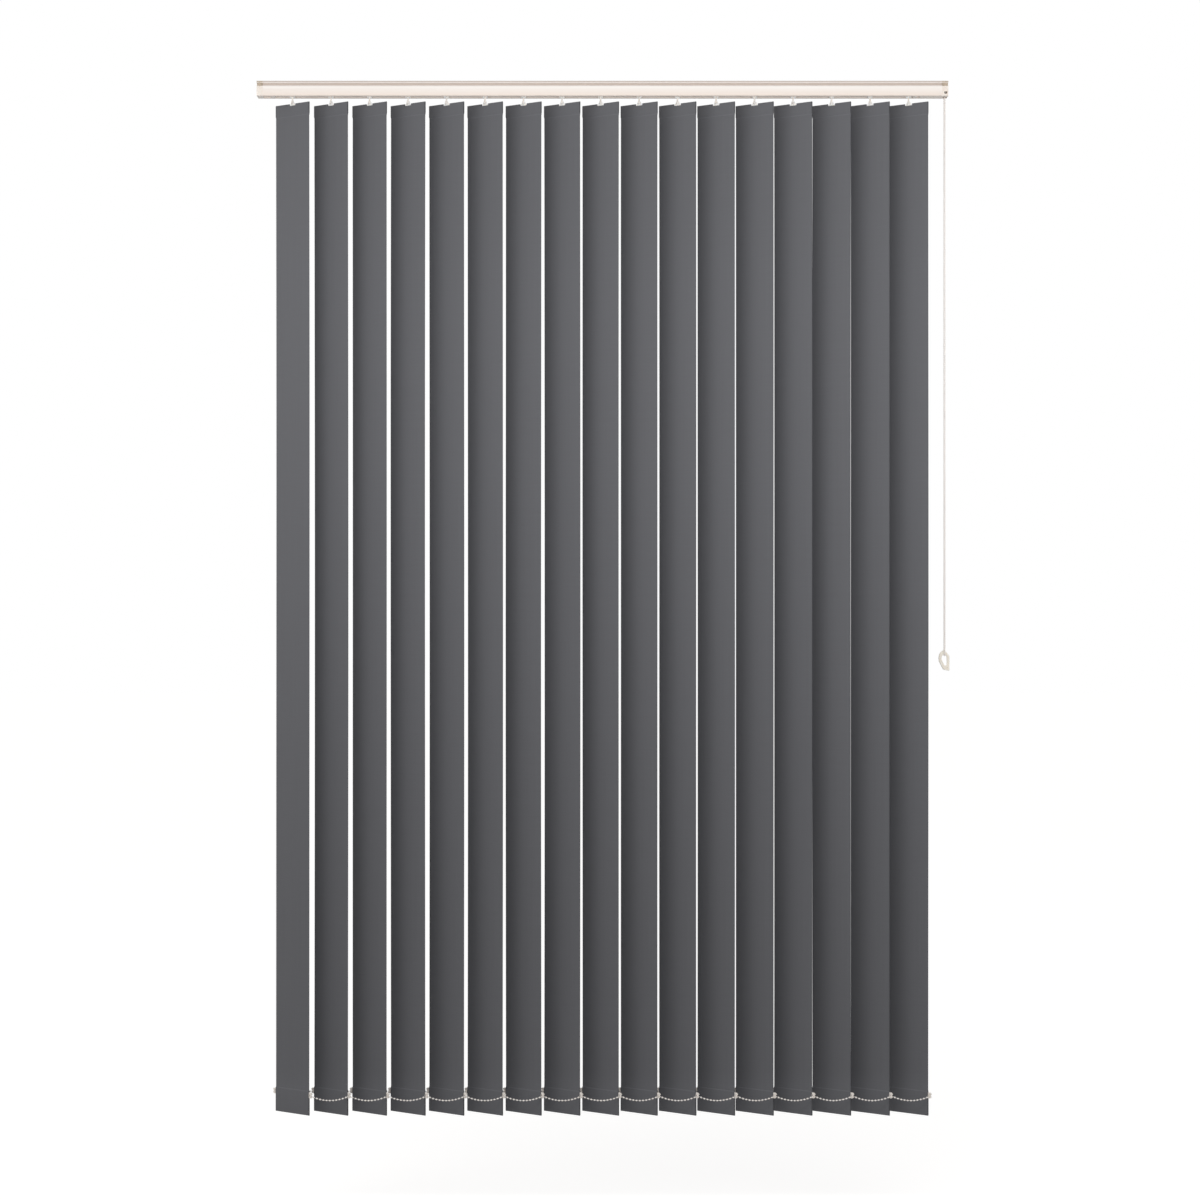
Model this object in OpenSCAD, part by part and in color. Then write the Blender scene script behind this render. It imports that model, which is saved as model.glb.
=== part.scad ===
// Vertical blind: a headrail with sliding carriers, turning fabric slats hung
// on hooks, weighted hems linked by two bead chains, and a chain-driven tilt rod.
// X runs along the rail, -Y faces the room, +Z is up. Z = 0 is the ceiling.

/* [Slats] */
// Number of slats
slat_count = 17; // [5:1:17]
// Distance between neighbouring slats when the blind is drawn out
pitch = 77; // [70:1:80]
// Width of a slat
slat_w = 89; // [85:1:92]
// Length of a slat from top fold to bottom fold
slat_len = 2019; // [600:1:2400]
// Thickness of the slat fabric
fabric_t = 0.45; // [0.35:0.05:0.5]
// Angle of the slats to the rail, as hung
tilt = 36; // [30:1:60]
// Height of the pocket that holds the bottom weight
hem_h = 46; // [44:1:60]

/* [Headrail] */
// Depth of the headrail, front to back
rail_d = 34; // [34:1:40]
// Height of the headrail
rail_h = 30; // [30:1:34]
// Wall of the headrail
rail_wall = 1.5; // [1.2:0.1:1.6]
// Width of the slot in the underside
slot_w = 14; // [13:0.5:15]
// Length of each end fitting along the rail
cap_len = 12; // [12:0.5:16]
// Distance of the two ceiling brackets from the middle
bracket_x = 480; // [60:5:520]

/* [Carriers] */
// Length of a carrier along the rail
carrier_len = 13.5; // [12:0.25:14]
// Radius of the tilt rod
rod_r = 3; // [2.5:0.1:3.2]
// Radius of a carrier wheel
wheel_r = 4.8; // [4:0.1:5]

/* [Chains] */
// Radius of a bead of the bottom chains
bead_r = 1.45; // [1.2:0.05:1.6]
// Length of a bead of the bottom chains
bead_len = 4.4; // [3.5:0.1:4.8]
// Beads between neighbouring slats
beads_per_span = 11; // [7:1:12]
// Sag of a bottom chain between neighbouring slats
chain_sag = 9; // [4:0.5:10]
// Radius of the control chain
control_r = 1.6; // [1.4:0.1:1.8]
// Distance from the ceiling to the bottom of the control chain loop
control_drop = 1148; // [500:1:1600]

/* [Hidden] */
$fn = 40;
eps = 0.01;

// Heights, measured down from the ceiling
rail_top = -1.5;
rail_bottom = rail_top - rail_h;
slat_top = rail_bottom - 13;
slat_bottom = slat_top - slat_len;

// Rail section
lip_y = rail_d / 2;
lip_lean = 2.2;
groove_y = lip_y - 3.4;
cap_groove_y = lip_y - 6.5;
groove_z1 = rail_top - 4.4;
groove_z0 = rail_top - 8.2;
inner_y = lip_y - rail_wall;
floor_z = rail_top - 6;
ceiling_z = floor_z - rail_wall;
lip_top_z = rail_bottom + 1.6;
rib_w = 1.2;
bulge = 0.5;
face_top_z = rail_top - 10.2;
corner_r = 1;
top_lip_t = 1.4;

// Ends of the rail and its fittings
first_x = -pitch * (slat_count - 1) / 2;
last_x = -first_x;
rail_x0 = first_x - 58;
rail_x1 = last_x + 65;
cap_x0 = rail_x0 - cap_len;
housing_x1 = rail_x1 + cap_len + 0.5;
plug_y = inner_y - 1.2;
plug_len = 43;
anchor_x = 56;
anchor_len = 7;
stop_x = 24;
stop_len = 10;
window_w = 6.2;
window_h = 4.4;
window_z = rail_bottom + 4.2;

// Tilt rod and its chain wheel
rod_y = 6;
rod_z = rail_top - 14.5;
rod_gap = 0.5;
drive_x = rail_x1 + 7.5;
drive_pitch_r = 7.3;
drive_flange_r = 9;
drive_w = 6.8;
drive_groove_w = 4.4;
drive_hub_r = drive_pitch_r - control_r - 0.4;

// Carriers
carrier_front_y = -8.2;
carrier_rear_y = 11.2;
carrier_top_z = ceiling_z - 1;
carrier_base_z = lip_top_z + 1.8;
neck_w = 11;
neck_len = 10;
wheel_y0 = 9.2;
wheel_w = 4;
axle_r = 2;
axle_out = 1.3;
strip_t = 0.5;
strip_w = 3.8;
strip_y1 = -4.2;
strip_len = pitch + 9;
tab_len = 5;
lanes = 7;
lane_step = 0.9;
lane_z0 = rail_top - 18.6;
notch_y = -3.6;
notch_z0 = rail_top - 19.4;
notch_z1 = rail_top - 12.4;

// Hooks: a stem that turns in the carrier and an open ring below it
stem_r = 2.6;
stem_gap = 0.15;
stem_top_z = rod_z - rod_r - rod_gap - 1.3;
snap_z = stem_top_z - 3;
shank_r = 1.4;
ring_r = 2.4;
ring_wire_r = 1.1;
ring_z = rail_bottom - 9.4;

// Hangers: a card in the top pocket with an eye standing out of it
hanger_t = 1.6;
hanger_w = 60;
hanger_h = 20;
eye_top_z = ring_z + 1.1;
eye_base_z = slat_top - 4;
eye_top_w = 5;
eye_base_w = 13.8;
eye_hole_r = 2;
eye_hole_z = ring_z - 3.1;
top_pocket_h = 25;
top_pocket_gap = 1.9;
notch_w = 17;
notch_h = 4;

// Bottom weights: a plate in the hem with a forked lug at each end
weight_t = 1.8;
hem_gap = 2.2;
weight_w = slat_w - 3;
weight_top = slat_bottom + hem_h;
lug_t = 3;
lug_h = 11.5;
lug_out = 8;
lug_slope = 3.4;
lug_top = weight_top + 0.5;
lug_bottom = lug_top - lug_h;
fork_top = lug_top - 4;
fork_bottom = lug_top - 8;
peg_r = 1;
peg_u = slat_w / 2 + 4.1;
peg_z = (fork_top + fork_bottom) / 2;

// Bottom chains
link_r = 0.45;
eyelet_bore_r = peg_r + 0.35;
eyelet_r = 2.9;
eyelet_h = 3.2;
intervals = beads_per_span + 1;

// Ceiling brackets
bracket_t = 1.6;
bracket_len = 28;
bracket_neck = 7.6;
bracket_foot = 11.3;
bracket_hole_r = 2.3;
channel_mouth = 8;
channel_y = 12;
foot_z = rail_top - top_lip_t;

// Chain guide: a bowed ring hung in the control chain loop, measured from the point that the chain bears on
guide_y = 6;
guide_t = 6;
guide_seat = 4.6;
guide_band = 8;
guide_bow = 11.8;
guide_wire = 5.8;
guide_belly = 8;
guide_fall = 24;
guide_hole_fall = 12;
guide_tip_x = 2.7;
guide_back = 9.7;
guide_bar = 5.3;
guide_top_corner = 4;
guide_tip = 30.6;
guide_foot = 33.3;
guide_hole_low = 22.6;
guide_screw = 19;
guide_hole_r = 1.6;

function two(i) = i < 10 ? str("0", i) : str(i);
function carrier_x(i) = first_x + pitch * (i - 1);
function joined(right, left) = concat(right, [for (k = [len(left) - 1 : -1 : 0]) [-left[k].x, left[k].y]]);
function mirrored(points) = joined(points, points);

// Face of the rail from its top edge to its underside: leaning lip, groove, bulged face, round corner
function rail_face(bottom_y) = concat(
    [[lip_y - lip_lean, rail_top], [lip_y - 0.5, rail_top - 1.8], [lip_y - 0.2, rail_top - 3.8],
     [bottom_y, groove_z1], [bottom_y, groove_z0]],
    [for (k = [0 : 6])
        [lip_y - bulge * pow(1 - k / 3, 2), face_top_z + (rail_bottom + corner_r - face_top_z) * k / 6]],
    [for (a = [-30 : -30 : -90])
        [lip_y - bulge - corner_r + corner_r * cos(a), rail_bottom + corner_r + corner_r * sin(a)]]);

// Inside of the rail from the slot to its ceiling, with a guide rib beside the slot
function rail_inside() = [
    [slot_w / 2, rail_bottom], [slot_w / 2, lip_top_z + rib_w], [slot_w / 2 + rib_w, lip_top_z + rib_w],
    [slot_w / 2 + rib_w, lip_top_z], [inner_y - 1.2, lip_top_z], [inner_y - 0.4, lip_top_z + 0.8],
    [inner_y - 0.4, face_top_z - 1], [groove_y - rail_wall, face_top_z + 0.9],
    [groove_y - rail_wall, ceiling_z]];

// Shallow channel along the top that the ceiling brackets hook into
function rail_channel() = [[channel_y, floor_z], [channel_y, rail_top - top_lip_t],
    [channel_mouth, rail_top - top_lip_t], [channel_mouth, rail_top]];

// Turns an outline drawn in Y and Z into a bar along X
module bar_x(x0, x1) {
    translate([x0, 0, 0]) rotate([90, 0, 90]) linear_extrude(x1 - x0) children();
}

// Places a slat-side piece: U along the slat, V across it, turned about the hook of slat i
module on_slat(i) {
    translate([carrier_x(i), 0, 0]) rotate([0, 0, -tilt]) children();
}

module headrail() {
    color("#efe6dc") bar_x(rail_x0, rail_x1)
        polygon(mirrored(concat(rail_channel(), rail_face(groove_y), rail_inside())));
}

// Section of an end fitting: as the rail at the back, with a deeper groove in front
module fitting_section() {
    polygon(joined(rail_face(groove_y), rail_face(cap_groove_y)));
}

// Plug that fills the rail below the tilt rod, clear of the ribs beside the slot
module rail_plug(x0, x1) {
    bar_x(x0, x1)
        polygon(mirrored([[plug_y, rod_z - 5], [plug_y, lip_top_z + rib_w + 0.4]]));
}

// Foot that stands in the slot, flush with the underside
module slot_foot(x0, x1) {
    bar_x(x0, x1)
        polygon(mirrored([[slot_w / 2 - 0.5, lip_top_z + 3], [slot_w / 2 - 0.5, rail_bottom]]));
}

module end_cap() {
    color("#efe6dc") difference() {
        union() {
            bar_x(cap_x0, rail_x0) fitting_section();
            rail_plug(rail_x0 - eps, rail_x0 + stop_x);
            slot_foot(rail_x0 + stop_x - stop_len, rail_x0 + stop_x);
        }
        translate([rail_x0 - 7, rod_y, rod_z]) rotate([0, 90, 0]) cylinder(r = rod_r + rod_gap, h = 8);
    }
}

// Arched chamber round the chain wheel, open at the bottom for the chain
module wheel_chamber() {
    bar_x(drive_x - drive_w / 2 - 0.5, drive_x + drive_w / 2 + 0.5) {
        translate([rod_y, rod_z]) circle(r = drive_flange_r + 0.6);
        translate([rod_y - drive_flange_r - 0.6, rail_bottom - 1])
            square([2 * drive_flange_r + 1.2, rod_z - rail_bottom + 1]);
    }
}

module control_housing() {
    color("#f2ece0") difference() {
        union() {
            bar_x(rail_x1, housing_x1) fitting_section();
            rail_plug(rail_x1 - anchor_x, rail_x1 + eps);
            slot_foot(rail_x1 - plug_len, rail_x1 + eps);
            slot_foot(rail_x1 - anchor_x, rail_x1 - anchor_x + anchor_len);
        }
        wheel_chamber();
        translate([rail_x1 - eps, rod_y, rod_z]) rotate([0, 90, 0]) cylinder(r = rod_r + rod_gap, h = 5);
        translate([drive_x - window_w / 2, -lip_y - 1, window_z]) cube([window_w, lip_y, window_h]);
    }
}

module bracket(x) {
    difference() {
        bar_x(x - bracket_len / 2, x + bracket_len / 2)
            polygon(mirrored([[bracket_neck, 0], [bracket_neck, foot_z], [bracket_foot, foot_z],
                [bracket_foot, foot_z - bracket_t], [bracket_neck - bracket_t, foot_z - bracket_t],
                [bracket_neck - bracket_t, -bracket_t]]));
        translate([x, 0, -bracket_t - 1]) cylinder(r = bracket_hole_r, h = bracket_t + 2);
    }
}

module mounting_brackets() {
    color("#b9bcc0") for (side = [-1, 1]) bracket(side * bracket_x);
}

module tilt_rod() {
    color("#c9ccd0") bar_x(rail_x0 - 6, drive_x + drive_w / 2) translate([rod_y, rod_z]) difference() {
        circle(r = rod_r);
        for (a = [0 : 120 : 240]) rotate(a) translate([rod_r + 0.3, 0]) circle(r = 1);
    }
    color("#f2ece0") translate([drive_x, rod_y, rod_z]) rotate([0, 90, 0]) rotate_extrude() drive_section();
}

// Half section of the chain wheel: bore, two flanges and the groove between them
module drive_section() {
    difference() {
        translate([rod_r + 0.05, -drive_w / 2]) square([drive_flange_r - rod_r - 0.05, drive_w]);
        polygon([[drive_hub_r, -drive_groove_w / 2], [drive_flange_r + 1, -drive_groove_w / 2 - 0.4],
            [drive_flange_r + 1, drive_groove_w / 2 + 0.4], [drive_hub_r, drive_groove_w / 2]]);
    }
}

module carrier_body() {
    difference() {
        union() {
            translate([-carrier_len / 2, carrier_front_y, carrier_base_z])
                cube([carrier_len, carrier_rear_y - carrier_front_y, carrier_top_z - carrier_base_z]);
            translate([-neck_len / 2, -neck_w / 2, rail_bottom - 1])
                cube([neck_len, neck_w, carrier_base_z - rail_bottom + 2]);
            for (side = [-1, 1]) translate([0, side * (wheel_y0 + wheel_w / 2), lip_top_z + wheel_r + 0.1])
                rotate([90, 0, 0]) {
                    cylinder(r = wheel_r, h = wheel_w, center = true);
                    cylinder(r = axle_r, h = wheel_w + 2 * axle_out, center = true);
                }
        }
        translate([-carrier_len, carrier_front_y - 1, notch_z0])
            cube([2 * carrier_len, notch_y - carrier_front_y + 1, notch_z1 - notch_z0]);
        translate([-carrier_len, rod_y, rod_z]) rotate([0, 90, 0])
            cylinder(r = rod_r + rod_gap, h = 2 * carrier_len);
        translate([0, 0, rail_bottom - 2])
            cylinder(r = stem_r + stem_gap, h = stem_top_z + 0.4 - rail_bottom + 2);
        translate([0, 0, snap_z - 1.5]) cylinder(r = stem_r + 0.7, h = 1.5);
    }
}

// Spacer strip that ties a carrier to the one on its left, in its own lane of the notch
module spacer_strip(i) {
    z = lane_z0 + lane_step * (i % lanes);
    translate([-strip_len, strip_y1 - strip_w, z]) cube([strip_len + tab_len / 2, strip_w, strip_t]);
    translate([-tab_len / 2, strip_y1 - eps, z]) cube([tab_len, notch_y - strip_y1 - 0.05 + eps, strip_t]);
}

module carrier(i) {
    translate([carrier_x(i), 0, 0]) {
        color("#f4f2ee") carrier_body();
        if (i > 1) color("#d8d4cc") spacer_strip(i);
    }
}

module hook(i) {
    color("#f4f2ee") on_slat(i) {
        translate([0, 0, rail_bottom - 1.2]) cylinder(r = stem_r, h = stem_top_z - rail_bottom + 1.2);
        translate([0, 0, snap_z - 1.2]) cylinder(r1 = stem_r, r2 = stem_r + 0.5, h = 0.9);
        translate([0, 0, ring_z + ring_r - 0.4])
            cylinder(r = shank_r, h = rail_bottom - 1 - ring_z - ring_r + 0.4);
        translate([0, 0, ring_z]) rotate([0, 90, 0]) rotate([0, 0, 180]) rotate_extrude(angle = 300)
            translate([ring_r, 0]) circle(r = ring_wire_r);
    }
}

// Section of the folded fabric: a strip with a sewn pocket at each end
module fabric_section() {
    half_top = top_pocket_gap / 2;
    half_hem = hem_gap / 2;
    difference() {
        polygon(mirrored([[half_top + fabric_t - 0.3, slat_top], [half_top + fabric_t, slat_top - 0.4],
            [half_top + fabric_t, slat_top - top_pocket_h + 3], [fabric_t / 2, slat_top - top_pocket_h - 3],
            [fabric_t / 2, slat_bottom + hem_h + 6], [half_hem + fabric_t, slat_bottom + hem_h + 1],
            [half_hem + fabric_t, slat_bottom + 0.4], [half_hem + fabric_t - 0.3, slat_bottom]]));
        polygon(mirrored([[half_top, slat_top - fabric_t], [half_top, slat_top - top_pocket_h + 3],
            [0.05, slat_top - top_pocket_h]]));
        polygon(mirrored([[0.05, slat_bottom + hem_h + 3], [half_hem, slat_bottom + hem_h + 0.8],
            [half_hem, slat_bottom + fabric_t]]));
    }
}

module slat_fabric() {
    difference() {
        translate([-slat_w / 2, 0, 0]) bar_x(0, slat_w) fabric_section();
        translate([-notch_w / 2, -5, slat_top - notch_h]) cube([notch_w, 10, notch_h + 1]);
    }
}

module hanger() {
    translate([0, hanger_t / 2, 0]) rotate([90, 0, 0]) linear_extrude(hanger_t) difference() {
        union() {
            polygon(mirrored([[eye_top_w / 2, eye_top_z], [eye_base_w / 2, eye_base_z],
                [eye_base_w / 2, eye_base_z - 2]]));
            translate([-hanger_w / 2, eye_base_z - hanger_h + 3.4]) square([hanger_w, hanger_h - 4]);
        }
        translate([0, eye_hole_z]) circle(r = eye_hole_r);
    }
}

// Outline of one lug: two prongs with the gap that the chain eyelet sits in
module lug_outline() {
    u0 = slat_w / 2 - 6;
    u1 = slat_w / 2 + lug_out;
    difference() {
        polygon([[u0, lug_top], [u1 - lug_slope, lug_top], [u1, lug_top - lug_slope],
            [u1, lug_bottom + lug_slope], [u1 - lug_slope, lug_bottom], [u0, lug_bottom]]);
        translate([slat_w / 2 + 0.6, fork_bottom]) square([lug_out, fork_top - fork_bottom]);
    }
}

module weight() {
    translate([-weight_w / 2, -weight_t / 2, slat_bottom + 1.2])
        cube([weight_w, weight_t, weight_top - slat_bottom - 2.2]);
    for (side = [0, 1]) mirror([side, 0, 0]) {
        translate([0, weight_t / 2, 0]) rotate([90, 0, 0]) linear_extrude(weight_t) lug_outline();
        translate([0, lug_t / 2, 0]) rotate([90, 0, 0]) linear_extrude(lug_t) intersection() {
            lug_outline();
            translate([slat_w / 2 + 0.6, lug_bottom]) square([lug_out, lug_h]);
        }
        translate([peg_u, 0, fork_bottom - 1]) cylinder(r = peg_r, h = fork_top - fork_bottom + 2);
    }
}

module slat(i) {
    on_slat(i) {
        color("#56575b") slat_fabric();
        color("#f4f2ee") hanger();
        color("#efe9dd") weight();
    }
}

// Points of one chain span from a peg to the next: a shallow parabola
function span_point(k) = [pitch * k / intervals, -4 * chain_sag * (k / intervals) * (1 - k / intervals)];

// Lays its children, drawn along Z, at a point of the span and along a direction
module along(point, direction) {
    translate([point.x, 0, point.y]) rotate([0, atan2(direction.x, direction.y), 0]) children();
}

module bead() {
    straight = bead_len - 2 * bead_r;
    rotate_extrude() intersection() {
        union() {
            for (side = [-1, 1]) translate([0, side * straight / 2]) circle(r = bead_r);
            square([2 * bead_r, straight], center = true);
        }
        translate([0, -bead_len]) square([bead_len, 2 * bead_len]);
    }
}

module eyelet() {
    difference() {
        cylinder(r = eyelet_r, h = eyelet_h, center = true);
        cylinder(r = eyelet_bore_r, h = eyelet_h + 1, center = true);
    }
}

module chain_span() {
    for (k = [1 : beads_per_span]) along(span_point(k), span_point(k + 1) - span_point(k - 1)) bead();
    for (k = [0 : beads_per_span]) {
        step = span_point(k + 1) - span_point(k);
        inset = 0.9;
        start = k == 0 ? (eyelet_r + eyelet_bore_r) / 2 : inset;
        end = k == beads_per_span ? (eyelet_r + eyelet_bore_r) / 2 : inset;
        along(span_point(k), step) translate([0, 0, start])
            cylinder(r = link_r, h = norm(step) - start - end);
    }
}

// A bottom chain on the pegs at one end of the slats: side is 1 for the front, -1 for the rear
module bottom_chain(side) {
    color("#efe9dd") translate([side * peg_u * cos(tilt), -side * peg_u * sin(tilt), peg_z]) {
        for (i = [1 : slat_count]) translate([carrier_x(i), 0, 0]) eyelet();
        for (i = [1 : slat_count - 1]) translate([carrier_x(i), 0, 0]) chain_span();
    }
}

// Route of the control chain: up the front strand, over the wheel, down the rear strand, round the loop
control_loop_z = drive_pitch_r - control_drop;
control_route = concat(
    [for (a = [180 : -22.5 : 0]) [rod_y + drive_pitch_r * cos(a), rod_z + drive_pitch_r * sin(a)]],
    [for (z = [-200 : -200 : -1000]) [rod_y + drive_pitch_r, z]],
    [for (a = [0 : -22.5 : -180]) [rod_y + drive_pitch_r * cos(a), control_loop_z + drive_pitch_r * sin(a)]],
    [for (z = [-1000 : 200 : -200]) [rod_y - drive_pitch_r, z]]);
control_sides = 8;

function unit(v) = v / norm(v);

// Ring of points round a route point, square to the route, in the plane of the chain loop
function control_ring(k) =
    let (n = len(control_route),
         p = control_route[k],
         t = unit(unit(control_route[(k + 1) % n] - p) + unit(p - control_route[(k + n - 1) % n])))
    [for (j = [0 : control_sides - 1]) let (a = 360 * j / control_sides)
        [drive_x + control_r * sin(a), p.x - control_r * cos(a) * t.y, p.y + control_r * cos(a) * t.x]];

module control_chain() {
    n = len(control_route);
    m = control_sides;
    color("#efe9dd") polyhedron(
        points = [for (k = [0 : n - 1]) each control_ring(k)],
        faces = [for (k = [0 : n - 1]) for (j = [0 : m - 1])
            [k * m + j, k * m + (j + 1) % m, (k + 1) % n * m + (j + 1) % m, (k + 1) % n * m + j]]);
}

// Bowed side of the chain guide from its top to where it runs straight to the tip
function guide_curve(width, rise, fall) =
    [for (a = [90 : 15 : 195]) [width * cos(a), -guide_belly + (a < 180 ? rise : fall) * sin(a)]];

// Ring of the chain guide: bowed on one side, straight where it is screwed to the wall
module guide_outline() {
    bar_x0 = guide_back - guide_bar;
    difference() {
        polygon(concat(guide_curve(guide_bow, guide_belly + guide_band, guide_fall),
            [[-guide_tip_x, -guide_tip], [0, -guide_tip - 1],
             [guide_back - 0.8, -guide_foot], [guide_back, -guide_foot + 0.8],
             [guide_back, -guide_top_corner], [guide_back - 1.2, -guide_top_corner + 1.8]]));
        polygon(concat(guide_curve(guide_bow - guide_wire, guide_belly, guide_hole_fall),
            [[0, -guide_hole_low], [bar_x0, -guide_hole_low], [bar_x0, -guide_top_corner - 1]]));
    }
}

module chain_guide() {
    color("#f2ece0") translate([drive_x, guide_y, control_loop_z - guide_seat]) difference() {
        translate([0, guide_t / 2, 0]) rotate([90, 0, 0]) linear_extrude(guide_t) guide_outline();
        translate([guide_back - guide_bar - 1, 0, -guide_screw]) rotate([0, 90, 0])
            cylinder(r = guide_hole_r, h = guide_bar + 2);
    }
}

slat_numbers = [1 : slat_count];

headrail();
end_cap();
control_housing();
mounting_brackets();
tilt_rod();
for (i = slat_numbers) {
    carrier(i);
    hook(i);
    slat(i);
}
bottom_chain(1);  // bottom_chain_front
bottom_chain(-1);  // bottom_chain_rear
control_chain();
chain_guide();
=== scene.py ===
"""Dresses a vertical blind: woven slats on hooks under a coated headrail, linked by bead chains.

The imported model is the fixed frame. All sizes here are metres in its frame: +X runs along the rail
towards the control chain, -Y faces the room, +Z is up and Z = 0 is the ceiling.
"""

import logging
import math
import random
from dataclasses import dataclass, field
from enum import Enum
from typing import Any, Callable, Sequence

import bmesh
import bpy
from bpy.types import Material, Node, NodeSocket, NodeTree, Object
from mathutils import Matrix, Vector

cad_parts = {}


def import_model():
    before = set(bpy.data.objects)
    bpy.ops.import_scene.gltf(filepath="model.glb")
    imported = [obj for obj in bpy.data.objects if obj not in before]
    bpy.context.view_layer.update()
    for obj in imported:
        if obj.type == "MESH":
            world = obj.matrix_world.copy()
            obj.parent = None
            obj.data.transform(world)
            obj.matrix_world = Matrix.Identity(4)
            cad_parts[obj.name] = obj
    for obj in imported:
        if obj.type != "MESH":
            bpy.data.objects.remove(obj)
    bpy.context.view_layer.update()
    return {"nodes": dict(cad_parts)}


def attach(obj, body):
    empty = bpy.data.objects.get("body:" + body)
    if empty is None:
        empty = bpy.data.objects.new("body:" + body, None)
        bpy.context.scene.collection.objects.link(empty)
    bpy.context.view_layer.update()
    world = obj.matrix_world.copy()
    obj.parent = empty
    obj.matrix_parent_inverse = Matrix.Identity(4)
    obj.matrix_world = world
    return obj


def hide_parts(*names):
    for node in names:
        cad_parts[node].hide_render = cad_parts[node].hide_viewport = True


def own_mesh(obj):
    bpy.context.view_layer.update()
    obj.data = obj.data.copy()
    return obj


LOG = logging.getLogger("vertical_blind")

MM = 0.001
SMOOTH_ANGLE = math.radians(38)

# A wave texture draws one band for each of these lengths at a scale of 1
WAVE_LENGTH = 2 * math.pi / 20

# Sockets of a Mix node that mixes colours
MIX_FACTOR, MIX_A, MIX_B, MIX_RESULT = 0, 6, 7, 2

# Other inputs go by number. In a Map Range node 0 is the value, 1 and 2 are the range that it comes from,
# and 3 and 4 the range that it goes to.

# Points of a mesh that are closer than this are one point
WELD_GAP = 0.002 * MM

# Painted shade in the groove and on the lip along the room side of the rail and its end fittings: heights
# between which it fades at the groove's foot, depths between which it fades, and the height, half width and
# share of painted shade kept on a lit line at the lip's edge
GROOVE_FOOT = (-11.6 * MM, -9.4 * MM)
GROOVE_DEPTH = (-11 * MM, -8 * MM)
LIP_EDGE, LIP_EDGE_HALF, LIP_LIT_LINE_SHADE = -4.9 * MM, 1.5 * MM, 0.1

# Share of a drawn line that has its full tone before it fades
LINE_CORE = 0.35

Point2 = tuple[float, float]
Point3 = tuple[float, float, float]
Colour = tuple[float, float, float, float]


class Side(Enum):
    """Long edge of a slat, as hung: the front edge is nearer the room."""

    FRONT = 1
    REAR = -1


def linear(hex_colour: str) -> Colour:
    """Turns an sRGB colour into linear light.

    Args:
        hex_colour: Colour as "#rrggbb".

    Returns:
        Linear red, green, blue and an alpha of 1.
    """
    parts = [int(hex_colour[k : k + 2], 16) / 255 for k in (1, 3, 5)]
    light = [c / 12.92 if c <= 0.04045 else ((c + 0.055) / 1.055) ** 2.4 for c in parts]
    return (light[0], light[1], light[2], 1.0)


def plug(tree: NodeTree, node: Node, sockets: dict) -> None:
    """Sets or links the inputs of a node.

    Args:
        tree: Node tree that holds the node.
        node: The node.
        sockets: Input name or number, with a value to set, or a socket or a node's first output to link.
    """
    for key, value in sockets.items():
        if isinstance(value, Node):
            value = value.outputs[0]
        if isinstance(value, NodeSocket):
            tree.links.new(value, node.inputs[key])
        else:
            node.inputs[key].default_value = value


def add_node(tree: NodeTree, kind: str, sockets: dict | None = None, **settings: Any) -> Node:
    """Adds one shader node with its settings and links.

    Args:
        tree: Node tree that takes the node.
        kind: Blender's type name of the node, after "ShaderNode".
        sockets: Inputs as for plug.
        settings: Properties of the node, by name.

    Returns:
        The new node.
    """
    node = tree.nodes.new("ShaderNode" + kind)
    for name, value in settings.items():
        setattr(node, name, value)
    plug(tree, node, sockets or {})
    return node


@dataclass
class Shape:
    """Vertices and faces of a piece before it becomes a mesh."""

    vertices: list[Vector] = field(default_factory=list)
    faces: list[tuple[int, ...]] = field(default_factory=list)

    def add(self, other: "Shape", place: Matrix | None = None) -> "Shape":
        """Appends another shape.

        Args:
            other: Shape to append.
            place: Where it goes, or None to leave it as it is.

        Returns:
            This shape.
        """
        first = len(self.vertices)
        self.vertices += [place @ v if place else v.copy() for v in other.vertices]
        self.faces += [tuple(first + n for n in face) for face in other.faces]
        return self

    def piece(self, name: str, material: Material, place: Matrix | None = None) -> Object:
        """Makes the shape a smooth-shaded object with sharp creases.

        Args:
            name: Name of the piece.
            material: Its finish.
            place: Where the object stands in the frame.

        Returns:
            The new object.
        """
        mesh = bpy.data.meshes.new(name)
        mesh.from_pydata(self.vertices, [], self.faces)
        mesh.validate()
        mesh.shade_smooth()
        mesh.set_sharp_from_angle(angle=SMOOTH_ANGLE)
        mesh.materials.append(material)
        made = bpy.data.objects.new(name, mesh)
        bpy.context.scene.collection.objects.link(made)
        if place:
            made.matrix_world = place
        LOG.info("%s made with %d faces", name, len(mesh.polygons))
        return made


def lathe(profile: Sequence[Point2], sides: int) -> Shape:
    """Turns a profile about Z.

    Args:
        profile: Radius and height of each ring, from the bottom up. A radius of 0 closes the end.
        sides: Number of sides round the axis.

    Returns:
        The turned shape, open where its ends aren't closed.
    """
    made = Shape()
    rings: list[list[int]] = []
    turns = [2 * math.pi * k / sides for k in range(sides)]
    for radius, z in profile:
        around = turns if radius > 0 else turns[:1]
        first = len(made.vertices)
        rings.append(list(range(first, first + len(around))))
        made.vertices += [Vector((radius * math.cos(a), radius * math.sin(a), z)) for a in around]
    for low, high in zip(rings, rings[1:]):
        for k in range(sides):
            below = [low[k % len(low)], low[(k + 1) % len(low)]]
            above = [high[(k + 1) % len(high)], high[k % len(high)]]
            made.faces.append(tuple(dict.fromkeys(below + above)))
    return made


def closed_lathe(section: Sequence[Point2], sides: int) -> Shape:
    """Turns a closed section about Z, as for a ring or an eyelet.

    Args:
        section: Radius and height of each corner, out along the bottom, up, and back in along the top.
        sides: Number of sides round the axis.

    Returns:
        The closed shape.
    """
    made = lathe([*section, section[0]], sides)
    kept = len(section) * sides
    made.vertices = made.vertices[:kept]
    made.faces = [tuple(n % kept for n in face) for face in made.faces]
    return made


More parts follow.
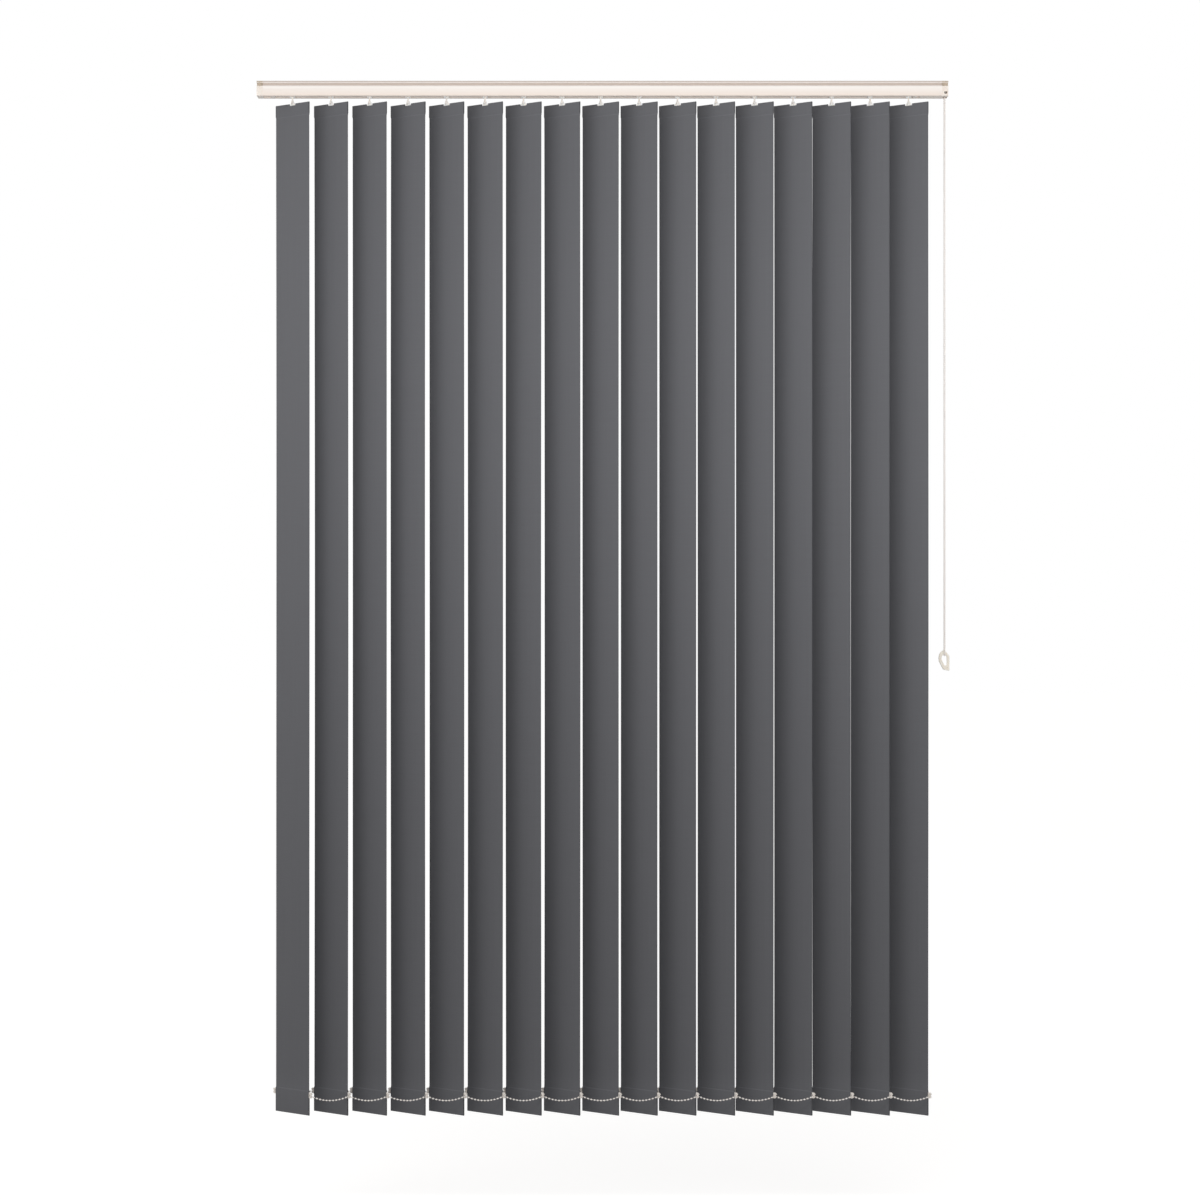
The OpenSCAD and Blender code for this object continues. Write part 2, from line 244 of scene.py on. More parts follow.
def pin(radius: float, low: float, high: float, sides: int) -> Shape:
    """Gives a closed round pin along Z."""
    return lathe([(0.0, low), (radius, low), (radius, high), (0.0, high)], sides)


def plate(outlines: Sequence[Sequence[Point2]], thickness: float, edge: float) -> Shape:
    """Makes a flat moulding with rounded edges, in X and Z and centred on Y.

    Args:
        outlines: Outer outline first, then holes, as X and Z points.
        thickness: Size across Y.
        edge: Radius of the rounded edges, inside the outline.

    Returns:
        The closed shape.
    """
    curve = bpy.data.curves.new("outline", "CURVE")
    curve.dimensions = "2D"
    curve.fill_mode = "BOTH"
    curve.extrude = thickness / 2 - edge
    curve.bevel_depth = edge
    curve.bevel_resolution = 1
    curve.offset = -edge
    for outline in outlines:
        spline = curve.splines.new("POLY")
        spline.points.add(len(outline) - 1)
        spline.use_cyclic_u = True
        for point, (x, z) in zip(spline.points, outline):
            point.co = (x, z, 0, 1)
    made = bpy.data.objects.new("outline", curve)
    bpy.context.scene.collection.objects.link(made)
    mesh = bpy.data.meshes.new_from_object(made.evaluated_get(bpy.context.evaluated_depsgraph_get()))
    solid = bmesh.new()
    solid.from_mesh(mesh)
    bmesh.ops.remove_doubles(solid, verts=solid.verts, dist=WELD_GAP)
    bmesh.ops.recalc_face_normals(solid, faces=solid.faces)
    solid.verts.index_update()
    upright = Matrix.Rotation(math.pi / 2, 4, "X")
    faces = [tuple(v.index for v in face.verts) for face in solid.faces]
    shape = Shape([upright @ v.co for v in solid.verts], faces)
    solid.free()
    bpy.data.objects.remove(made)
    bpy.data.curves.remove(curve)
    bpy.data.meshes.remove(mesh)
    return shape


def facing(point: Vector, direction: Vector) -> Matrix:
    """Gives the placing that lays a shape's Z axis along a direction at a point."""
    return Matrix.Translation(point) @ direction.to_track_quat("Z", "Y").to_matrix().to_4x4()


def circle(centre: Point2, radius: float, sides: int) -> list[Point2]:
    """Gives the points of a round outline."""
    turns = [2 * math.pi * k / sides for k in range(sides)]
    return [(centre[0] + radius * math.cos(a), centre[1] + radius * math.sin(a)) for a in turns]


@dataclass(frozen=True)
class Finish:
    """A surface made from what the real material is.

    Uneven is how far the roughness falls below and rises above its mean, and relief is the strength and the
    depth of the bumps. In each kind of finish a cover is how far a tone hides the one below.
    """

    name: str
    colour: str
    roughness: float
    uneven: Point2 = (0.06, 0.08)
    relief: Point2 = (0.22, 0.08 * MM)

    def material(self) -> Material:
        """Makes the node material.

        Returns:
            The finished material.
        """
        made = bpy.data.materials.new(self.name)
        made.use_nodes = True
        tree = made.node_tree
        tree.nodes.clear()
        shader = add_node(tree, "BsdfPrincipled", {"Roughness": self.roughness})
        add_node(tree, "OutputMaterial", {"Surface": shader})
        place = add_node(tree, "TexCoord").outputs["Object"]
        plug(tree, shader, self.dress(tree, place))
        return made

    def dress(self, tree: NodeTree, place: NodeSocket) -> dict[str, Any]:
        """Draws the pattern of this finish.

        Args:
            tree: The material's nodes.
            place: Object coordinates in metres.

        Returns:
            Inputs of the Principled shader, with a value, a node or a socket each.
        """
        raise NotImplementedError

    def grain(self, tree: NodeTree, place: NodeSocket, size: Sequence[float], detail: float = 2.0) -> Node:
        """Draws a random grain of a real size.

        Args:
            tree: The material's nodes.
            place: Object coordinates in metres.
            size: Width of a grain along X, Y and Z, in metres.
            detail: Number of finer layers in the grain.

        Returns:
            The grain, from 0 to 1.
        """
        density = tuple(1 / s for s in size)
        stretched = add_node(tree, "VectorMath", {0: place, 1: density}, operation="MULTIPLY")
        return add_node(tree, "TexNoise", {"Vector": stretched, "Scale": 1.0, "Detail": detail})

    def surface(
        self,
        tree: NodeTree,
        layers: Sequence[tuple[Node, str]],
        gloss: tuple[Node, float, float],
        height: Node,
    ) -> dict[str, Any]:
        """Draws what every finish has: tones one over the other, an uneven gloss and bumps.

        Args:
            tree: The material's nodes.
            layers: How far each tone covers the ones below, from 0 to 1, and its colour.
            gloss: Pattern of the gloss, and its values where the surface is least and most rough.
            height: Height of the bumps.

        Returns:
            Inputs of the Principled shader.
        """
        colour: Any = linear(self.colour)
        for share, over in layers:
            laid = {MIX_FACTOR: share, MIX_A: colour, MIX_B: linear(over)}
            colour = add_node(tree, "Mix", laid, data_type="RGBA").outputs[MIX_RESULT]
        pattern, smooth, rough = gloss
        low, high = self.roughness - self.uneven[0], self.roughness + self.uneven[1]
        strength, depth = self.relief
        return {
            "Base Color": colour,
            "Roughness": add_node(tree, "MapRange", {0: pattern, 1: smooth, 2: rough, 3: low, 4: high}),
            "Normal": add_node(tree, "Bump", {"Strength": strength, "Distance": depth, "Height": height}),
        }

    def line_at(self, tree: NodeTree, value: NodeSocket, middle: float, half: float) -> Node:
        """Draws a soft line across one axis.

        Args:
            tree: The material's nodes.
            value: Coordinate along that axis.
            middle: Where the line lies.
            half: Half its width.

        Returns:
            1 in the line, falling to 0 at its edges.
        """
        apart = add_node(tree, "Math", {0: value, 1: middle}, operation="SUBTRACT")
        away = add_node(tree, "Math", {0: apart}, operation="ABSOLUTE")
        fall = {0: away, 1: LINE_CORE * half, 2: half, 3: 1.0, 4: 0.0}
        return add_node(tree, "MapRange", fall, interpolation_type="SMOOTHSTEP")

    def shaded_groove_mask(self, tree: NodeTree, place: NodeSocket) -> Node:
        """Finds the painted shade on the lip and in the groove of the rail and its end fittings, on the room
        side.

        Args:
            tree: The material's nodes.
            place: Object coordinates in metres.

        Returns:
            1 where painted shade lies, in the groove and on the lip, 0 elsewhere, and low on a lit line
            along the lip's edge, where the painted shade is mostly left off.
        """
        _, depth, height = add_node(tree, "SeparateXYZ", {0: place}).outputs
        above = add_node(tree, "MapRange", {0: height, 1: GROOVE_FOOT[0], 2: GROOVE_FOOT[1]})
        ahead = add_node(tree, "MapRange", {0: depth, 1: GROOVE_DEPTH[0], 2: GROOVE_DEPTH[1], 3: 1.0, 4: 0.0})
        edge = self.line_at(tree, height, LIP_EDGE, LIP_EDGE_HALF)
        off_lit_line = add_node(tree, "MapRange", {0: edge, 3: 1.0, 4: LIP_LIT_LINE_SHADE})
        both = add_node(tree, "Math", {0: above, 1: ahead}, operation="MULTIPLY")
        return add_node(tree, "Math", {0: both, 1: off_lit_line}, operation="MULTIPLY")


@dataclass(frozen=True)
class PowderCoat(Finish):
    """Powder-coated extruded aluminium.

    An even satin coat with a faint orange peel and long die lines. The groove and the lip carry painted
    shade in a greyer tone, and the lower half of the bar a painted shade that darkens and warms it.
    """

    shade: str = "#f2eae3"
    # Tone of the painted shade towards the bottom of the bar
    lower: str = "#ece0d6"
    # Tone of the painted shade in the groove and on the lip
    groove_shade_tone: str = "#c4b6ad"
    peel: float = 2.4 * MM
    die_line: float = 1.1 * MM
    die_run: float = 400 * MM
    drift_size: Point3 = (220 * MM, 30 * MM, 12 * MM)
    drift_cover: float = 0.55
    # Heights between which the painted shade towards the bottom comes in
    low_shade_heights: Point2 = (-15 * MM, -29 * MM)

    def dress(self, tree: NodeTree, place: NodeSocket) -> dict[str, Any]:
        """Draws the orange peel, die lines, drift of tone, and painted shade in the groove and low down.

        Args:
            tree: The material's nodes.
            place: Object coordinates in metres.

        Returns:
            Inputs of the Principled shader.
        """
        drift = self.grain(tree, place, self.drift_size)
        lines = self.grain(tree, place, (self.die_run, self.die_line, self.die_line))
        # Real orange peel is under a millimetre; it is drawn coarser so that it shows
        peel = self.grain(tree, place, (self.peel,) * 3)
        drifted = add_node(tree, "MapRange", {0: drift, 1: 0.3, 2: 0.75, 3: 0.0, 4: self.drift_cover})
        # Painted shade: the lower half of the bar is darker and warmer, as under light from above
        height = add_node(tree, "SeparateXYZ", {0: place}).outputs[2]
        upper, lower = self.low_shade_heights
        low_shade_share = add_node(tree, "MapRange", {0: height, 1: upper, 2: lower})
        # Painted shade in the groove and on the lip
        groove_shade_share = self.shaded_groove_mask(tree, place)
        layers = [(drifted, self.shade), (low_shade_share, self.lower), (groove_shade_share, self.groove_shade_tone)]
        bumps = add_node(tree, "Math", {0: lines, 1: 0.5, 2: peel}, operation="MULTIPLY_ADD")
        return self.surface(tree, layers, (lines, 0.25, 0.75), bumps)


@dataclass(frozen=True)
class MouldedPlastic(Finish):
    """Injection-moulded plastic: a fine spark-eroded grain, slight flow marks and a soft depth of light."""

    shade: str = "#e2d8c8"
    # Tone of the painted shade in the groove, where a part has one
    groove: str | None = None
    spark_grain: float = 0.9 * MM
    flow_size: Point3 = (9 * MM, 7 * MM, 14 * MM)
    flow_cover: float = 0.6
    light_path: float = 1.2 * MM
    light_radius: Point3 = (1.0, 0.9, 0.8)
    depth: float = 0.15
    gloss: float = 0.0
    gloss_roughness: float = 0.18
    ior: float = 1.49
    uneven: Point2 = (0.07, 0.09)
    relief: Point2 = (0.3, 0.06 * MM)

    def dress(self, tree: NodeTree, place: NodeSocket) -> dict[str, Any]:
        """Draws the flow marks in the colour, the grain and its uneven gloss.

        Args:
            tree: The material's nodes.
            place: Object coordinates in metres.

        Returns:
            Inputs of the Principled shader.
        """
        flow = self.grain(tree, place, self.flow_size, detail=3.0)
        # The spark grain is finer than this on a real mould; it is drawn coarser so that it shows
        spark = self.grain(tree, place, (self.spark_grain,) * 3, detail=3.0)
        flowed = add_node(tree, "MapRange", {0: flow, 1: 0.35, 2: 0.7, 3: 0.0, 4: self.flow_cover})
        layers = [(flowed, self.shade)]
        if self.groove:
            # Painted shade in the groove of the moulding, as a darker tone
            layers.append((self.shaded_groove_mask(tree, place), self.groove))
        return self.surface(tree, layers, (spark, 0.3, 0.7), spark) | {
            "IOR": self.ior,
            "Subsurface Weight": self.depth,
            "Subsurface Radius": self.light_radius,
            "Subsurface Scale": self.light_path,
            "Coat Weight": self.gloss,
            "Coat Roughness": self.gloss_roughness,
        }


@dataclass(frozen=True)
class DrawnMetal(Finish):
    """Bare drawn or plated metal: fine lines along the bar, or soft crystals of zinc."""

    shade: str = "#8f9397"
    grain_size: Point3 = (60 * MM, 0.5 * MM, 0.5 * MM)
    grain_cover: float = 0.8
    uneven: Point2 = (0.08, 0.12)
    relief: Point2 = (0.25, 0.05 * MM)

    def dress(self, tree: NodeTree, place: NodeSocket) -> dict[str, Any]:
        """Draws the lines or crystals in colour, gloss and height.

        Args:
            tree: The material's nodes.
            place: Object coordinates in metres.

        Returns:
            Inputs of the Principled shader.
        """
        lines = self.grain(tree, place, self.grain_size, detail=4.0)
        shaded = add_node(tree, "MapRange", {0: lines, 1: 0.3, 2: 0.75, 3: 0.0, 4: self.grain_cover})
        drawn = self.surface(tree, [(shaded, self.shade)], (lines, 0.25, 0.75), lines)
        return drawn | {"Metallic": 1.0}


@dataclass(frozen=True)
class WovenSlat(Finish):
    """Stiffened polyester plain weave: matt, with slubs along the warp and welded seams at its pockets."""

    slub: str = "#717277"
    shadow: str = "#58595d"
    seam: str = "#797a7f"
    thread: float = 1.3 * MM
    warp_slub: Point3 = (3.2 * MM, 5 * MM, 260 * MM)
    weft_slub: Point3 = (70 * MM, 5 * MM, 1.6 * MM)
    weld_dot: float = 2.6 * MM
    weld_half: float = 1.1 * MM
    weld_press: float = 1.6
    weld_cover: Point2 = (0.2, 0.5)
    slub_cover: float = 0.35
    shadow_cover: float = 0.4
    edge_cover: float = 0.6
    seam_heights: Point2 = (-69.5 * MM, -2015.0 * MM)
    sealed_edge: Point2 = (42.9 * MM, 44 * MM)
    uneven: Point2 = (0.05, 0.08)
    relief: Point2 = (0.35, 0.12 * MM)

    def weave(self, tree: NodeTree, place: NodeSocket) -> Node:
        """Draws the plain weave.

        Args:
            tree: The material's nodes.
            place: Object coordinates in metres.

        Returns:
            Height of the threads, from -1 to 1.
        """
        # The real thread is about 0.5 mm; it is drawn coarser so that the weave shows
        scale = WAVE_LENGTH / (2 * self.thread)
        waves = []
        for direction in ("X", "Z"):
            thread = {"Vector": place, "Scale": scale, "Distortion": 0.25, "Detail": 1.0}
            wave = add_node(tree, "TexWave", thread, bands_direction=direction)
            waves.append(add_node(tree, "MapRange", {0: wave.outputs["Fac"], 3: -1.0, 4: 1.0}))
        return add_node(tree, "Math", {0: waves[0], 1: waves[1]}, operation="MULTIPLY")

    def weld(self, tree: NodeTree, place: NodeSocket) -> Node:
        """Draws the dotted welds that close the two pockets.

        Args:
            tree: The material's nodes.
            place: Object coordinates in metres.

        Returns:
            How far the cloth is welded, from 0 to the most that a weld covers.
        """
        height = add_node(tree, "SeparateXYZ", {0: place}).outputs[2]
        seams = [self.line_at(tree, height, z, self.weld_half) for z in self.seam_heights]
        both = add_node(tree, "Math", {0: seams[0], 1: seams[1]}, operation="ADD")
        dots = add_node(tree, "TexWave", {"Vector": place, "Scale": WAVE_LENGTH / self.weld_dot})
        least, most = self.weld_cover
        pressed = add_node(tree, "MapRange", {0: dots.outputs["Fac"], 1: 0.2, 2: 0.8, 3: least, 4: most})
        return add_node(tree, "Math", {0: both, 1: pressed}, operation="MULTIPLY")

    def dress(self, tree: NodeTree, place: NodeSocket) -> dict[str, Any]:
        """Draws the weave, the slubs, the welded seams and the sealed edges.

        Args:
            tree: The material's nodes.
            place: Object coordinates in metres.

        Returns:
            Inputs of the Principled shader.
        """
        weave, weld = self.weave(tree, place), self.weld(tree, place)
        warp = self.grain(tree, place, self.warp_slub, detail=3.0)
        weft = self.grain(tree, place, self.weft_slub)
        streaks = add_node(tree, "Math", {0: warp, 1: weft}, operation="ADD")
        width = add_node(tree, "SeparateXYZ", {0: place}).outputs[0]
        across = add_node(tree, "Math", {0: width}, operation="ABSOLUTE")
        edge = {0: across, 1: self.sealed_edge[0], 2: self.sealed_edge[1], 3: 0.0, 4: self.edge_cover}
        thick = {0: streaks, 1: 0.7, 2: 1.35, 3: 0.0, 4: self.slub_cover}
        between = {0: weave, 1: -1.0, 2: 0.4, 3: self.shadow_cover, 4: 0.0}
        layers = [
            (add_node(tree, "MapRange", thick), self.slub),
            (add_node(tree, "MapRange", between), self.shadow),
            (weld, self.seam),
            (add_node(tree, "MapRange", edge), self.shadow),
        ]
        pressed = add_node(tree, "Math", {0: weld, 1: -self.weld_press, 2: weave}, operation="MULTIPLY_ADD")
        height = add_node(tree, "Math", {0: streaks, 1: 0.8, 2: pressed}, operation="MULTIPLY_ADD")
        woven = self.surface(tree, layers, (weave, 1.0, -1.0), height)
        return woven | {"Specular IOR Level": 0.3, "Sheen Weight": 0.12, "Sheen Roughness": 0.45}


class Finishes:
    """The materials of the blind, each made once."""

    def __init__(self) -> None:
        """Makes every material."""
        # Powder-coated extrusion: a warm white satin that shows no metal
        self.rail = PowderCoat("satin_powder_coat", "#f9f4f0", 0.4).material()
        # Moulded ABS: a shade creamier than the rail, and duller, with painted shade in its groove
        cap = MouldedPlastic("moulded_abs_warm_white", "#f2eae2", 0.42, shade="#e8ddd2", groove="#b7a792")
        self.cap = cap.material()
        # The chain guide's ABS: ivory, painted lighter than the caps' for the dimmer light that reaches it
        # low down, with a light gloss coat
        guide = MouldedPlastic("moulded_abs_ivory", "#fdf7ec", 0.38, shade="#f5ebdc", gloss=0.15)
        self.guide = guide.material()
        # Acetal turned out of a fine mould: a faint pink, waxy and smooth, a shade darker than the hangers'
        # acetal as painted shade under the rail
        hook = MouldedPlastic("moulded_acetal_blush", "#f8f2ec", 0.36, shade="#eee5dd", depth=0.3)
        self.hook = hook.material()
        # White acetal of the hangers and the carriers: a clean white, waxy and smooth
        acetal = MouldedPlastic("moulded_acetal_white", "#fcfaf6", 0.34, shade="#f5f1ea", depth=0.3)
        self.acetal = acetal.material()
        # Polyester beads moulded on their cord: creamy and glossy
        bead = MouldedPlastic(
            "moulded_bead_cream",
            "#fef8f3",
            0.32,
            shade="#f8f0ea",
            spark_grain=1.4 * MM,
            depth=0.1,
            gloss=0.25,
        )
        self.bead = bead.material()
        # Polypropylene of the hem weights: milky and a little warm
        weight = MouldedPlastic("moulded_polypropylene_cream", "#fef8f2", 0.42, shade="#faf2ea", depth=0.05)
        self.weight = weight.material()
        # Drawn aluminium rod: bright lines along its length
        self.rod = DrawnMetal("drawn_aluminium", "#cfd2d4", 0.34).material()
        # Zinc-plated steel of the ceiling brackets: dull soft crystals
        self.zinc = DrawnMetal("zinc_plated_steel", "#c4c7ca", 0.38, grain_size=(3.0 * MM,) * 3).material()
        # Stiffened polyester cloth: a dark grey, matt weave with slubs
        self.slat = WovenSlat("woven_polyester_anthracite", "#68696d", 0.82).material()


@dataclass(frozen=True)
class Eyelet:
    """The ring of a bottom chain that turns on the peg of a weight."""

    radius: float = 2.15 * MM
    bore: float = 1.1 * MM
    height: float = 3.7 * MM
    rim: float = 0.25 * MM
    link_at: float = 2.1 * MM
    sides: int = 16

    def shape(self) -> Shape:
        """Makes the ring about Z, with rounded rims.

        Returns:
            The closed shape.
        """
        half = self.height / 2
        upper = [
            (self.radius, half - self.rim),
            (self.radius - self.rim, half),
            (self.bore + self.rim, half),
            (self.bore, half - self.rim),
        ]
        lower = [(r, -z) for r, z in reversed(upper)]
        return closed_lathe(lower + upper, self.sides)


@dataclass(frozen=True)
class Layout:
    """Where the slats hang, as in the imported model."""

    count: int = 17
    pitch: float = 77 * MM
    stacked_pitch: float = 14.5 * MM
    tilt: float = math.radians(36)
    peg_out: float = 48.6 * MM
    peg_z: float = -2023.0 * MM
    eyelet: Eyelet = Eyelet()

    def numbers(self) -> range:
        """Gives the slat numbers, from the left."""
        return range(1, self.count + 1)

    def hook_x(self, number: int) -> float:
        """Gives the place of a hook along the rail."""
        return self.pitch * (number - (self.count + 1) / 2)

    def on_slat(self, number: int) -> Matrix:
        """Gives the placing of a slat: X along its width, -Y to the room, turned about its hook."""
        return Matrix.Translation((self.hook_x(number), 0, 0)) @ Matrix.Rotation(-self.tilt, 4, "Z")

    def peg(self, number: int, side: Side) -> Vector:
        """Gives the middle of the chain peg on one edge of a slat."""
        return self.on_slat(number) @ Vector((side.value * self.peg_out, 0, self.peg_z))


@dataclass(frozen=True)
class Hanger:
    """The card in the top pocket of a slat, with the pierced eye that stands in the notch."""

    base: float
    thickness: float = 1.6 * MM
    edge: float = 0.3 * MM
    eye_z: float = -44 * MM
    eye_top: float = -39.8 * MM
    eye_half: float = 2.5 * MM
    eye_bore: float = 2 * MM
    neck_half: float = 6.9 * MM
    shoulder: float = 0.6 * MM
    card_half: float = 30 * MM
    card_h: float = 16.6 * MM
    corner: Point2 = (3 * MM, 2.6 * MM)
    rim_half: float = 1 * MM
    rim_r: float = 2.9 * MM
    rim_soft: Point2 = (0.2 * MM, 0.4 * MM)
    sides: int = 20

    def shape(self) -> Shape:
        """Makes the card and the raised rim of its eye.

        Returns:
            The shape, in the slat's own axes.
        """
        top, foot = self.base - self.shoulder, self.base - self.card_h
        right = [
            (self.eye_half, self.eye_top),
            (self.neck_half, self.base),
            (self.neck_half, top),
            (self.card_half, top),
            (self.card_half, foot + self.corner[1]),
            (self.card_half - self.corner[0], foot),
        ]
        outline = right + [(-x, z) for x, z in reversed(right)]
        hole = circle((0, self.eye_z), self.eye_bore, self.sides)
        made = plate([outline[::-1], hole[::-1]], self.thickness, self.edge)
        upper = [
            (self.rim_r, self.rim_half - self.rim_soft[1]),
            (self.rim_r - self.rim_soft[0], self.rim_half),
            (self.eye_bore, self.rim_half),
        ]
        lower = [(r, -z) for r, z in reversed(upper)]
        rim = closed_lathe(lower + upper, self.sides)
        return made.add(rim, facing(Vector((0, 0, self.eye_z)), Vector((0, 1, 0))))


@dataclass(frozen=True)
class HemWeight:
    """The plate in the hem of a slat, at each end a forked lug and the chain's eyelet on its peg."""

    layout: Layout
    slat_half: float
    slat_bottom: float
    thickness: float = 1.8 * MM
    edge: float = 0.3 * MM
    side_room: float = 1.5 * MM
    foot_room: float = 1.2 * MM
    rise: float = 45 * MM
    root_thinner: float = 0.02 * MM
    lug_thickness: float = 3 * MM
    lug_edge: float = 0.5 * MM
    lug_clear: float = 0.6 * MM
    lug_root: float = 38.5 * MM
    lug_tip: float = 52.5 * MM
    lug_top: float = -2017 * MM
    lug_h: float = 11.5 * MM
    slope: float = 3.4 * MM
    corner: Point2 = (0.6 * MM, 0.4 * MM)
    tip_in: float = 0.3 * MM
    lower_in: float = 0.2 * MM
    mouth: float = 0.5 * MM
    throat: float = 45.1 * MM
    throat_r: float = 0.8 * MM
    gap: Point2 = (-2021 * MM, -2025 * MM)
    peg_r: float = 1 * MM
    peg_in: float = 1 * MM
    peg_sides: int = 14

    def lug(self) -> list[Point2]:
        """Gives the outline of the front lug: two prongs with the gap for the chain's eyelet.

        Returns:
            X and Z of its corners, in the slat's own axes.
        """
        tip, top, low = self.lug_tip, self.lug_top, self.lug_top - self.lug_h
        upper, lower = self.gap
        run, drop = self.corner
        before, after = tip - self.slope - run, tip - self.slope + self.mouth
        bend = self.throat + self.throat_r
        return [
            (self.lug_root, top),
            (before, top),
            (after, top - drop),
            (tip - self.tip_in, top - self.slope + drop),
            (tip, top - self.slope),
            (tip, upper + self.mouth),
            (tip - self.mouth, upper),
            (bend, upper),
            (self.throat, upper - self.throat_r),
            (self.throat, lower + self.throat_r),
            (bend, lower),
            (tip - self.mouth, lower),
            (tip - self.lower_in, lower - self.mouth),
            (after, low + drop),
            (before, low),
            (self.lug_root, low),
        ]

    def shape(self) -> Shape:
        """Makes the plate with its lugs, pegs and eyelets.

        Returns:
            The shape, in the slat's own axes.
        """
        half = self.slat_half - self.side_room
        low, high = self.slat_bottom + self.foot_room, self.slat_bottom + self.rise
        made = plate([[(-half, low), (half, low), (half, high), (-half, high)]], self.thickness, self.edge)
        upper, lower = self.gap
        peg = pin(self.peg_r, lower - self.peg_in, upper + self.peg_in, self.peg_sides)
        eyelet = self.layout.eyelet.shape()
        clear = self.slat_half + self.lug_clear
        for side in Side:
            root = [(side.value * x, z) for x, z in self.lug()]
            prongs = [(side.value * max(x, clear), z) for x, z in self.lug()]
            turned = -side.value
            made.add(plate([root[::turned]], self.thickness - self.root_thinner, self.edge))
            made.add(plate([prongs[::turned]], self.lug_thickness, self.lug_edge))
            out = side.value * self.layout.peg_out
            made.add(peg, Matrix.Translation((out, 0, 0)))
            made.add(eyelet, Matrix.Translation((out, 0, self.layout.peg_z)))
        return made


